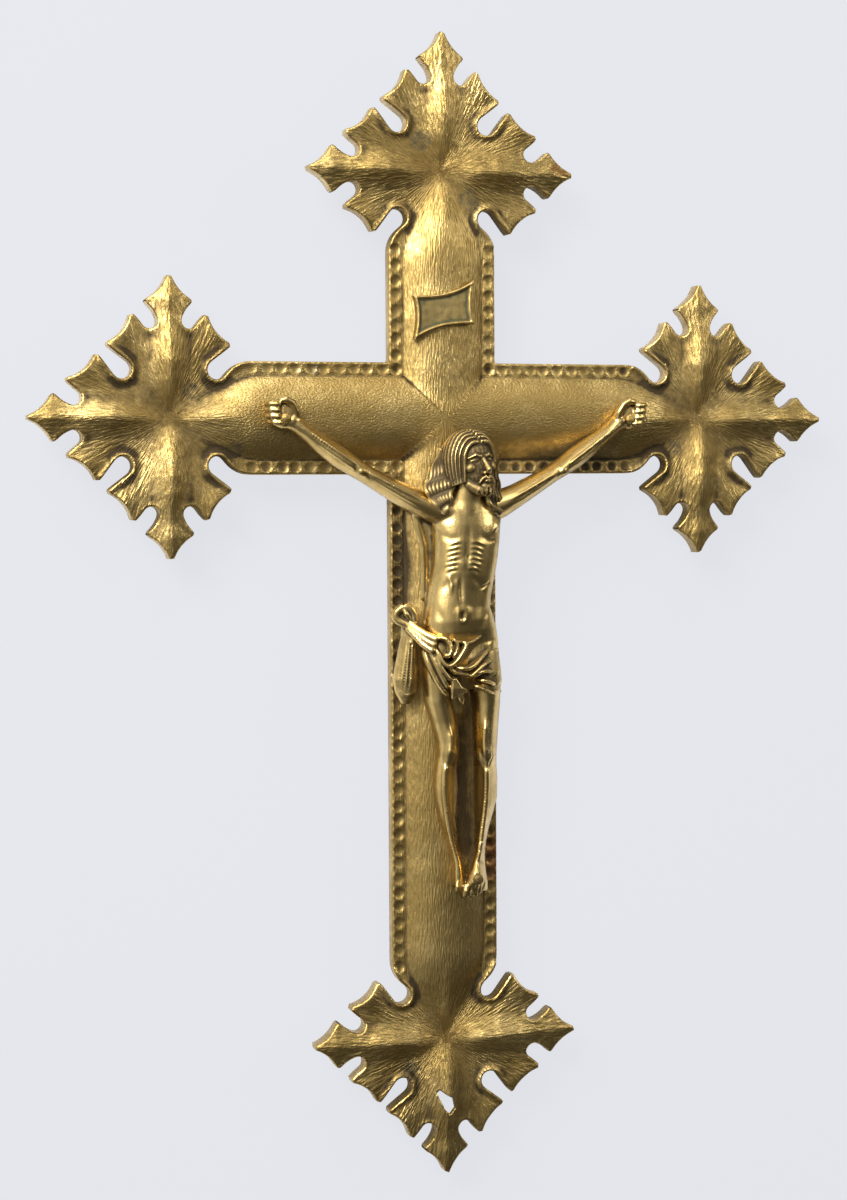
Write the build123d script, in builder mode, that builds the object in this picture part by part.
from build123d import *
import os
from math import cos, radians, sin, sqrt

# Cast brass wall crucifix, in millimetres.
# +Z is up and the front faces -Y. The wall is the plane Y = 0, and the origin is the
# middle of the crossing on that wall. A "height" is a distance in front of the wall.

# Cross casting
side_reach = 86.5            # crossing to the middle of a side terminal
upper_reach = 76.5           # crossing to the middle of the upper terminal
lower_reach = 195.3          # crossing to the middle of the lower terminal
petal_length = 44.1          # middle of a terminal to the tip of a petal
limb_width = 34.7
margin_width = 4.5           # flat border beside the raised panel
panel_land = 10.0            # flat crown of the panel
rim_height = 4.0             # wall to the flat margin
panel_rise = 4.0             # margin to the panel's crown
petal_rise = 3.2             # margin to the top of a petal's keel
corner_round = 1.3           # rounding of the petals' points
wall = 1.8                   # thickness of the casting
overrun = 1.0                # how far a cut runs past what it cuts

# Figure
figure_height = 144.0        # top of the head to the toes
figure_axis = 3.3            # the figure hangs a little right of the middle
hand_level = -0.2            # nail line of the hands above the crossing
seat_clearance = 0.05        # between castings that are drawn together
spigot_diameter = 3.6        # brazed peg of an arm in the shoulder
spigot_length = 4.0

# Nails with their washers and nuts
nail_diameter = 2.0
nail_head_diameter = 3.4
nail_head_thickness = 1.1
nail_stub = 0.6              # thread left past the nut
head_round_share = 0.8       # rounding of a nail's head
fit_clearance = 0.05         # radial, round a nail, a peg or a screw
washer_diameter = 4.6
washer_thickness = 0.5
nut_width = 4.0              # across flats
nut_thickness = 1.6

# Scroll plate over the head
plate_width = 19.4
plate_height = 12.6
plate_thickness = 1.6
plate_level = 33.4           # its middle above the crossing
plate_shift = -1.1           # its middle beside the limb's middle
plate_slant = 4.2            # how much its right end stands higher
plate_waist = 1.2            # how far its ends are drawn in
plate_border = 1.3           # raised border of the plate
plate_recess = 0.5           # depth of the field inside the border
peg_spacing = 6.6
peg_stub = 0.4               # peened end past its washer

# Hanger in the hollow of the upper limb
eye_level = 40.0             # the eye's axis above the crossing
eye_height = 3.2             # the eye's axis in front of the wall
wire_diameter = 1.4
bar_length = 5.8             # straight bar of the ring
bow_corner = 2.2             # bend radius between the bar and the bow
eye_clearance = 0.05         # radial, round the ring's bar
strap_width = 5.4
strap_thickness = 0.8
strap_length = 13.2          # the eye's axis to the strap's far end
pad_thickness = 1.2          # cast pad behind the strap
pad_margin = 0.8             # pad past the strap's edges
screw_diameter = 2.0
screw_depth = 2.2            # thread in the pad
screw_head_diameter = 3.4
screw_head_thickness = 0.9
screw_slot_width = 0.5
screw_slot_depth = 0.4
screw_end_gap = 0.1          # blind hole past the screw's end
screw_places_share = (0.30, 0.80)   # along the strap, from the eye

# Half of a petal's outline, (along, across) as shares of the petal's length
notch_middle_share = 0.330   # middle of the round notch, both ways
notch_radius_share = 0.062
lobe_inner_shares = (0.505, 0.445)
lobe_waist_shares = (0.598, 0.342)
lobe_outer_shares = (0.722, 0.266)
lobe_flank_shares = (0.650, 0.192)
cusp_shares = (0.606, 0.142)
neck_shares = (0.660, 0.080)
neck_waist_shares = (0.735, 0.116)
barb_shares = (0.805, 0.174)
blade_shares = (0.905, 0.067)
tip_shares = (1.035, 0.000)
shoulder_waist_shares = (0.425, 0.340)
shoulder_end_share = 0.530   # where a limb reaches its full width
keel_side_shares = (0.440, 0.420)
keel_top_share = 0.420       # highest point of the keel along the petal
panel_end_share = 0.090      # size of the panel where it dies out in a terminal
keel_crest_share = 0.050     # size of the blunt top of a keel
taper_share = 0.560          # length of the panel's taper

# Flaw in the lowest petal, (across, up) as shares of the petal's length from the terminal's middle
flaw_shares = (
    (-0.065, -0.365),
    (-0.025, -0.395),
    (0.030, -0.425),
    (0.050, -0.500),
    (0.010, -0.540),
    (-0.030, -0.505),
    (-0.085, -0.385),
)

# Figure's sections as shares of its height:
# (below the nail line, right of the axis, in front of the panel, half width, half depth)
head_shares = (
    (0.030, 0.015, 0.059, 0.015, 0.015),
    (0.044, 0.013, 0.059, 0.039, 0.039),
    (0.076, 0.011, 0.062, 0.060, 0.055),
    (0.111, 0.009, 0.062, 0.060, 0.054),
    (0.142, 0.009, 0.060, 0.051, 0.046),
    (0.168, 0.008, 0.051, 0.039, 0.036),
    (0.208, 0.005, 0.044, 0.036, 0.035),
)
trunk_shares = (
    (0.167, 0.005, 0.042, 0.047, 0.033),
    (0.194, 0.005, 0.042, 0.074, 0.039),
    (0.243, 0.005, 0.043, 0.086, 0.041),
    (0.292, 0.003, 0.043, 0.086, 0.041),
    (0.347, -0.003, 0.043, 0.079, 0.041),
    (0.403, -0.010, 0.043, 0.074, 0.040),
    (0.458, -0.008, 0.043, 0.083, 0.041),
    (0.514, -0.005, 0.043, 0.089, 0.041),
    (0.583, -0.002, 0.043, 0.082, 0.041),
)
cloth_shares = (
    (0.431, -0.012, 0.044, 0.087, 0.042),
    (0.458, -0.012, 0.048, 0.097, 0.045),
    (0.521, -0.005, 0.049, 0.096, 0.046),
    (0.562, -0.001, 0.049, 0.093, 0.046),
    (0.604, 0.005, 0.048, 0.089, 0.044),
)
cloth_tail_shares = (
    (0.392, -0.130, 0.031, 0.014, 0.014),
    (0.417, -0.129, 0.033, 0.028, 0.025),
    (0.449, -0.124, 0.031, 0.029, 0.021),
    (0.497, -0.122, 0.029, 0.025, 0.019),
    (0.562, -0.125, 0.026, 0.029, 0.018),
    (0.614, -0.123, 0.024, 0.012, 0.011),
)
rear_leg_shares = (
    (0.542, -0.048, 0.043, 0.044, 0.041),
    (0.604, -0.048, 0.043, 0.036, 0.041),
    (0.646, -0.040, 0.043, 0.033, 0.041),
    (0.688, -0.035, 0.043, 0.030, 0.041),
    (0.722, -0.035, 0.044, 0.029, 0.042),
    (0.753, -0.038, 0.039, 0.029, 0.036),
    (0.799, -0.038, 0.035, 0.028, 0.032),
    (0.840, -0.034, 0.032, 0.025, 0.029),
    (0.889, -0.024, 0.028, 0.019, 0.025),
    (0.931, -0.016, 0.026, 0.015, 0.023),
    (0.972, -0.009, 0.025, 0.017, 0.022),
    (1.007, -0.009, 0.024, 0.015, 0.018),
    (1.024, -0.012, 0.024, 0.008, 0.011),
)
front_leg_shares = (
    (0.542, 0.042, 0.043, 0.044, 0.041),
    (0.604, 0.051, 0.043, 0.038, 0.041),
    (0.646, 0.051, 0.043, 0.034, 0.041),
    (0.688, 0.049, 0.043, 0.031, 0.041),
    (0.729, 0.049, 0.044, 0.031, 0.042),
    (0.764, 0.051, 0.040, 0.031, 0.037),
    (0.812, 0.051, 0.037, 0.029, 0.034),
    (0.861, 0.046, 0.035, 0.023, 0.031),
    (0.910, 0.037, 0.032, 0.017, 0.029),
    (0.938, 0.031, 0.033, 0.016, 0.029),
    (0.972, 0.025, 0.037, 0.021, 0.031),
    (1.007, 0.020, 0.042, 0.025, 0.026),
    (1.032, 0.014, 0.044, 0.021, 0.017),
)
# Arm's sections: (out from the axis, below the nail line, in front of the panel, half height, half depth)
arm_shares = (
    (0.090, 0.185, 0.043, 0.036, 0.035),
    (0.128, 0.171, 0.041, 0.032, 0.032),
    (0.174, 0.147, 0.038, 0.028, 0.030),
    (0.226, 0.114, 0.033, 0.026, 0.029),
    (0.267, 0.087, 0.029, 0.029, 0.028),
    (0.309, 0.060, 0.026, 0.029, 0.025),
    (0.340, 0.035, 0.024, 0.026, 0.023),
    (0.361, 0.015, 0.024, 0.028, 0.022),
    (0.389, -0.001, 0.023, 0.032, 0.025),
    (0.414, -0.007, 0.022, 0.028, 0.022),
    (0.425, -0.008, 0.022, 0.017, 0.015),
)
# Shoulder girdle between the two arm joints, same columns, from the axis outwards
girdle_shares = (
    (0.000, 0.198, 0.043, 0.030, 0.032),
    (0.045, 0.196, 0.043, 0.035, 0.034),
)
hand_nail_share = 0.389      # nail's place out from the axis
hand_seat_share = 0.036      # nail head's seat in front of the panel
foot_nail_shares = (0.993, 0.022)
foot_seat_share = 0.065
foot_lug_share = 0.022       # radius of the lug behind the feet

# Sizes that follow from those above
panel_half = limb_width / 2 - margin_width
crown_height = rim_height + panel_rise
ceiling_height = crown_height - wall
shoulder_end = shoulder_end_share * petal_length
taper_length = taper_share * petal_length
limbs = ((0, side_reach), (90, upper_reach), (180, side_reach), (270, lower_reach))
hand_places = {
    "right_hand": (figure_axis - hand_nail_share * figure_height, hand_level),
    "left_hand": (figure_axis + hand_nail_share * figure_height, hand_level),
}
foot_place = (
    figure_axis + foot_nail_shares[1] * figure_height,
    hand_level - foot_nail_shares[0] * figure_height,
)
nail_places = {**hand_places, "foot": foot_place}
seat_heights = {
    "right_hand": crown_height + hand_seat_share * figure_height,
    "left_hand": crown_height + hand_seat_share * figure_height,
    "foot": crown_height + foot_seat_share * figure_height,
}
plate_tilt = plate_slant / plate_width
peg_places = {
    "left": (-peg_spacing / 2, plate_level - (peg_spacing / 2 + plate_shift) * plate_tilt),
    "right": (peg_spacing / 2, plate_level + (peg_spacing / 2 - plate_shift) * plate_tilt),
}
pad_height = ceiling_height - pad_thickness
eye_radius = wire_diameter / 2 + eye_clearance + strap_thickness
screw_places = [(0, eye_level + share * strap_length) for share in screw_places_share]


def front(height):
    """Plane that faces the viewer, at a height in front of the wall."""
    return Plane.XZ.offset(height)


def across_limb(heading, run):
    """Plane square to a limb, at a run from the crossing; its y axis is the height."""
    along = Vector(cos(radians(heading)), 0, sin(radians(heading)))
    aside = Vector(-sin(radians(heading)), 0, cos(radians(heading)))
    return Plane(origin=along * run, x_dir=aside, z_dir=along)


def petal_point(shares):
    """Point of a petal's outline from its shares."""
    return (shares[0] * petal_length, shares[1] * petal_length)


def finish(builder, name):
    """Label a finished piece and write it."""
    builder.part.label = name
    export_step(builder.part, f"parts/{name}.step")


os.makedirs("parts", exist_ok=True)

# Outline of the cross, drawn flat: x is to the right and y is up
notch_middle = petal_point((notch_middle_share, notch_middle_share))
notch_radius = notch_radius_share * petal_length
notch_end = notch_middle[0] - notch_radius / sqrt(2)
notch_flank = (notch_middle[0] + notch_radius / sqrt(2), notch_end)

with BuildSketch() as petal:
    with BuildLine():
        Line((0, 0), (notch_end, notch_end))
        CenterArc(notch_middle, notch_radius, 225, 90)
        Line(notch_flank, petal_point(lobe_inner_shares))
        ThreePointArc(*[petal_point(p) for p in (lobe_inner_shares, lobe_waist_shares, lobe_outer_shares)])
        Line(petal_point(lobe_outer_shares), petal_point(lobe_flank_shares))
        ThreePointArc(*[petal_point(p) for p in (lobe_flank_shares, cusp_shares, neck_shares)])
        ThreePointArc(*[petal_point(p) for p in (neck_shares, neck_waist_shares, barb_shares)])
        ThreePointArc(*[petal_point(p) for p in (barb_shares, blade_shares, tip_shares)])
        mirror(about=Plane.XZ)
    make_face()

with BuildSketch() as rounded_petal:
    add(petal.sketch)
    points = [petal_point(p) for p in (lobe_inner_shares, lobe_outer_shares, barb_shares)]
    points += [(along, -across) for along, across in points]
    points.append(petal_point(tip_shares))
    fillet([rounded_petal.vertices().sort_by_distance(point)[0] for point in points], radius=corner_round)

with BuildSketch() as shoulder:
    with BuildLine():
        Line((0, 0), (notch_end, notch_end))
        CenterArc(notch_middle, notch_radius, 225, 90)
        ThreePointArc(notch_flank, petal_point(shoulder_waist_shares), (shoulder_end, limb_width / 2))
        Line((shoulder_end, limb_width / 2), (shoulder_end, 0))
        mirror(about=Plane.XZ)
    make_face()


def cross_outline(petal_sketch):
    """Outline of the whole cross with the given petal on its terminals."""
    with BuildSketch() as cross:
        for heading, reach in limbs:
            run = reach - shoulder_end
            with PolarLocations(run / 2, 1, heading):
                Rectangle(run, limb_width)
            with PolarLocations(reach, 1, heading):
                with PolarLocations(0, 1, 180):
                    add(shoulder.sketch)
                with PolarLocations(0, 3, -90, 180, endpoint=True):
                    add(petal_sketch)
    return cross.sketch


outline = cross_outline(rounded_petal.sketch)

with BuildSketch() as hollow_outline:
    add(cross_outline(petal.sketch))
    offset(amount=-wall, mode=Mode.REPLACE)


def panel_profile(plane, half_width, land, edge_height, crown):
    """Section of the raised panel: a flat crown with round shoulders down to its edges."""
    with BuildSketch(plane) as profile:
        with BuildLine():
            Line((0, crown), (land / 2, crown))
            TangentArc((land / 2, crown), (half_width, edge_height), tangent=(1, 0))
            Line((half_width, edge_height), (half_width, -overrun))
            Line((half_width, -overrun), (0, -overrun))
            mirror(about=Plane.YZ)
        make_face()
    return profile.sketch


def keel_base(plane, size_share):
    """Kite under a petal's keel, shrunk towards the keel's highest point."""
    side = petal_point(keel_side_shares)
    tip = petal_point(tip_shares)
    top = (keel_top_share * petal_length, 0)
    corners = [(0, 0), (side[0], -side[1]), tip, side]
    with BuildSketch(plane) as kite:
        with BuildLine():
            Polyline(
                *[(top[0] + (x - top[0]) * size_share, y * size_share) for x, y in corners],
                close=True,
            )
        make_face()
    return kite.sketch


def relief(drop, inset):
    """Panels and petal keels, lowered by drop, with the panels' edges drawn in by inset."""
    edge = rim_height - drop
    crown = crown_height - drop
    half = panel_half - inset
    for heading, reach in limbs:
        taper_start = reach - taper_length
        extrude(panel_profile(across_limb(heading, 0), half, panel_land, edge, crown), amount=taper_start)
        full_end = panel_profile(across_limb(heading, taper_start), half, panel_land, edge, crown)
        small_end = panel_profile(
            across_limb(heading, reach),
            half * panel_end_share,
            panel_land * panel_end_share,
            edge,
            edge + panel_rise * panel_end_share,
        )
        loft([full_end, small_end], ruled=True)
        middle = across_limb(heading, reach).origin
        for turn in (heading - 90, heading, heading + 90):
            base = Plane(
                origin=middle + Vector(0, -edge, 0),
                x_dir=Vector(cos(radians(turn)), 0, sin(radians(turn))),
                z_dir=(0, -1, 0),
            )
            loft([keel_base(base, 1), keel_base(base.offset(petal_rise), keel_crest_share)], ruled=True)


# Hollow behind the casting
with BuildPart() as hollow:
    relief(wall, wall)
    with BuildSketch(front(-overrun)):
        add(hollow_outline.sketch)
    extrude(amount=crown_height + overrun, mode=Mode.INTERSECT)
    with BuildSketch(front(-overrun)):
        add(hollow_outline.sketch)
    extrude(amount=rim_height - wall + overrun)

# Cross: one casting with its hollow back, the hanger's pad and the holes for what is pinned to it
with BuildPart() as cross_shell:
    relief(0, 0)
    with BuildSketch(front(0)):
        add(outline)
    extrude(amount=crown_height, mode=Mode.INTERSECT)
    with BuildSketch(front(0)):
        add(outline)
    extrude(amount=rim_height)
    add(hollow.part, mode=Mode.SUBTRACT)
    with BuildSketch(front(pad_height)):
        with Locations((0, eye_level + strap_length / 2)):
            Rectangle(strap_width + 2 * pad_margin, strap_length - 2 * eye_radius)
    extrude(amount=pad_thickness + wall / 2)
    with BuildSketch(front(0)):
        with Locations(*nail_places.values(), *peg_places.values()):
            Circle(nail_diameter / 2 + fit_clearance)
    extrude(amount=crown_height + overrun, mode=Mode.SUBTRACT)
    with BuildSketch(front(0)):
        with Locations(*nail_places.values(), *peg_places.values()):
            Circle(washer_diameter / 2 + fit_clearance)
    extrude(amount=ceiling_height, mode=Mode.SUBTRACT)
    with BuildSketch(front(0)):
        with Locations(*screw_places):
            Circle(screw_diameter / 2 + fit_clearance)
    extrude(amount=pad_height + screw_depth + screw_end_gap, mode=Mode.SUBTRACT)
    with BuildSketch(front(0)):
        with BuildLine():
            Polyline(
                *[(x * petal_length, y * petal_length - lower_reach) for x, y in flaw_shares],
                close=True,
            )
        make_face()
    extrude(amount=crown_height + overrun, mode=Mode.SUBTRACT)
finish(cross_shell, "cross_shell")

# Scroll plate: slanting, ends drawn in, a raised border and two cast pegs through the panel
left_end = plate_shift - plate_width / 2
right_end = plate_shift + plate_width / 2
low_left = (left_end, plate_level - (plate_height + plate_slant) / 2)
high_left = (left_end, plate_level + (plate_height - plate_slant) / 2)
low_right = (right_end, plate_level - (plate_height - plate_slant) / 2)
high_right = (right_end, plate_level + (plate_height + plate_slant) / 2)

with BuildSketch() as plate_outline:
    with BuildLine():
        Line(low_left, low_right)
        ThreePointArc(low_right, (right_end - plate_waist, plate_level + plate_slant / 2), high_right)
        Line(high_right, high_left)
        ThreePointArc(high_left, (left_end + plate_waist, plate_level - plate_slant / 2), low_left)
    make_face()

with BuildPart() as titulus_plate:
    with BuildSketch(front(crown_height)):
        add(plate_outline.sketch)
    extrude(amount=plate_thickness)
    with BuildSketch(front(crown_height + plate_thickness - plate_recess)):
        add(plate_outline.sketch)
        offset(amount=-plate_border, mode=Mode.REPLACE)
    extrude(amount=plate_recess, mode=Mode.SUBTRACT)
    with BuildSketch(front(ceiling_height - washer_thickness - peg_stub)):
        with Locations(*peg_places.values()):
            Circle(nail_diameter / 2)
    extrude(amount=wall + washer_thickness + peg_stub)
finish(titulus_plate, "titulus_plate")


def washer_outline(place):
    """Ring of a washer round a nail or a peg."""
    with Locations(place):
        Circle(washer_diameter / 2)
        Circle(nail_diameter / 2 + fit_clearance, mode=Mode.SUBTRACT)


for name, place in peg_places.items():
    with BuildPart() as titulus_washer:
        with BuildSketch(front(ceiling_height - washer_thickness)):
            washer_outline(place)
        extrude(amount=washer_thickness)
    finish(titulus_washer, f"titulus_washer_{name}")

# Nails with a domed head in front, a washer and a nut in the hollow
for name, place in nail_places.items():
    nut_face = ceiling_height - washer_thickness
    tail = nut_face - nut_thickness - nail_stub
    with BuildPart() as nail:
        with BuildSketch(front(tail)):
            with Locations(place):
                Circle(nail_diameter / 2)
        extrude(amount=seat_heights[name] - tail)
        with BuildSketch(front(seat_heights[name])):
            with Locations(place):
                Circle(nail_head_diameter / 2)
        extrude(amount=nail_head_thickness)
        head_edge = nail.edges().filter_by(GeomType.CIRCLE).sort_by(Axis.Y)[0]
        fillet(head_edge, radius=nail_head_thickness * head_round_share)
    finish(nail, f"{name}_nail")
    with BuildPart() as washer:
        with BuildSketch(front(nut_face)):
            washer_outline(place)
        extrude(amount=washer_thickness)
    finish(washer, f"{name}_washer")
    with BuildPart() as nut:
        with BuildSketch(front(nut_face - nut_thickness)):
            with Locations(place):
                RegularPolygon(nut_width / 2, 6, major_radius=False)
                Circle(nail_diameter / 2 + fit_clearance, mode=Mode.SUBTRACT)
        extrude(amount=nut_thickness)
    finish(nut, f"{name}_nut")


def body_loft(shares):
    """Loft of the figure through level ellipses."""
    sections = []
    for drop, aside, stand, half_width, half_depth in shares:
        with BuildSketch(Plane.XY.offset(hand_level - drop * figure_height)) as section:
            with Locations((figure_axis + aside * figure_height, -crown_height - stand * figure_height)):
                Ellipse(half_width * figure_height, half_depth * figure_height)
        sections.append(section.sketch)
    loft(sections)


def arm_section(side, shares):
    """Upright ellipse square to the cross's width, on one side of the figure."""
    out, drop, stand, half_height, half_depth = shares
    with BuildSketch(Plane.YZ.offset(figure_axis + side * out * figure_height)) as section:
        with Locations((-crown_height - stand * figure_height, hand_level - drop * figure_height)):
            Ellipse(half_depth * figure_height, half_height * figure_height)
    return section.sketch


joint_out = arm_shares[0][0] * figure_height
joint_middle = (
    -crown_height - arm_shares[0][2] * figure_height,
    hand_level - arm_shares[0][1] * figure_height,
)

# Figure without its arms: head, trunk, cloth and legs in one casting
with BuildPart() as corpus_body:
    body_loft(trunk_shares)
    body_loft(head_shares)
    for side in (-1, 1):
        loft([arm_section(side, shares) for shares in (*girdle_shares, arm_shares[0])])
    body_loft(cloth_shares)
    body_loft(cloth_tail_shares)
    body_loft(rear_leg_shares)
    body_loft(front_leg_shares)
    with BuildSketch(front(crown_height + seat_clearance)):
        with Locations(foot_place):
            Circle(foot_lug_share * figure_height)
    extrude(amount=(foot_seat_share - foot_lug_share) * figure_height)
    with BuildSketch(front(crown_height)):
        with Locations(foot_place):
            Circle(nail_diameter / 2 + fit_clearance)
    extrude(amount=seat_heights["foot"], mode=Mode.SUBTRACT)
    with BuildSketch(front(seat_heights["foot"])):
        with Locations(foot_place):
            Circle(nail_head_diameter / 2 + fit_clearance)
    extrude(amount=foot_seat_share * figure_height, mode=Mode.SUBTRACT)
    for side in (-1, 1):
        with BuildSketch(Plane.YZ.offset(figure_axis + side * joint_out)):
            with Locations(joint_middle):
                Circle(spigot_diameter / 2 + fit_clearance)
        extrude(amount=-side * (spigot_length + fit_clearance), mode=Mode.SUBTRACT)
finish(corpus_body, "corpus_body")

# Arms: each has a peg in the shoulder and a flat behind the hand that lies on the panel
for name, side in (("right", -1), ("left", 1)):
    place = hand_places[f"{name}_hand"]
    seat = seat_heights[f"{name}_hand"]
    with BuildPart() as arm:
        loft([arm_section(side, shares) for shares in arm_shares])
        split(bisect_by=front(crown_height + seat_clearance), keep=Keep.TOP)
        with BuildSketch(Plane.YZ.offset(figure_axis + side * joint_out)):
            with Locations(joint_middle):
                Circle(spigot_diameter / 2)
        extrude(amount=-side * spigot_length)
        with BuildSketch(front(crown_height)):
            with Locations(place):
                Circle(nail_diameter / 2 + fit_clearance)
        extrude(amount=seat, mode=Mode.SUBTRACT)
        with BuildSketch(front(seat)):
            with Locations(place):
                Circle(nail_head_diameter / 2 + fit_clearance)
        extrude(amount=hand_seat_share * figure_height, mode=Mode.SUBTRACT)
    finish(arm, f"corpus_{name}_arm")

# Hanger: strap with a rolled eye, two screws into the pad, and the ring in the eye
with BuildPart() as hanger_strap:
    with BuildSketch(Plane.YZ.offset(-strap_width / 2)):
        with Locations((-eye_height, eye_level)):
            Circle(eye_radius)
        with Locations((-pad_height + strap_thickness / 2, eye_level + strap_length / 2)):
            Rectangle(strap_thickness, strap_length)
        with Locations((-eye_height, eye_level)):
            Circle(wire_diameter / 2 + eye_clearance, mode=Mode.SUBTRACT)
    extrude(amount=strap_width)
    with BuildSketch(front(0)):
        with Locations(*screw_places):
            Circle(screw_diameter / 2 + fit_clearance)
    extrude(amount=pad_height + overrun, mode=Mode.SUBTRACT)
finish(hanger_strap, "hanger_strap")

for name, place in zip(("lower", "upper"), screw_places):
    head_face = pad_height - strap_thickness
    with BuildPart() as screw:
        with BuildSketch(front(head_face)):
            with Locations(place):
                Circle(screw_diameter / 2)
        extrude(amount=strap_thickness + screw_depth)
        with BuildSketch(front(head_face - screw_head_thickness)):
            with Locations(place):
                Circle(screw_head_diameter / 2)
        extrude(amount=screw_head_thickness)
        with BuildSketch(front(head_face - screw_head_thickness)):
            with Locations(place):
                Rectangle(screw_head_diameter, screw_slot_width)
        extrude(amount=screw_slot_depth, mode=Mode.SUBTRACT)
    finish(screw, f"hanger_screw_{name}")

with BuildPart() as hanging_ring:
    bow_radius = bar_length / 2 + bow_corner
    with BuildSketch(Plane.YZ.offset(-bar_length / 2)):
        with Locations((-eye_height, eye_level)):
            Circle(wire_diameter / 2)
    extrude(amount=bar_length)
    for side in (-1, 1):
        with BuildSketch(Plane.YZ.offset(side * bar_length / 2)):
            with Locations((-eye_height, eye_level)):
                Circle(wire_diameter / 2)
        corner = (side * bar_length / 2, -eye_height, eye_level - bow_corner)
        revolve(axis=Axis(corner, (0, side, 0)), revolution_arc=90)
    with BuildSketch(Plane.XY.offset(eye_level - bow_corner)):
        with Locations((bow_radius, -eye_height)):
            Circle(wire_diameter / 2)
    revolve(axis=Axis((0, -eye_height, eye_level - bow_corner), (0, 1, 0)), revolution_arc=180)
finish(hanging_ring, "hanging_ring")
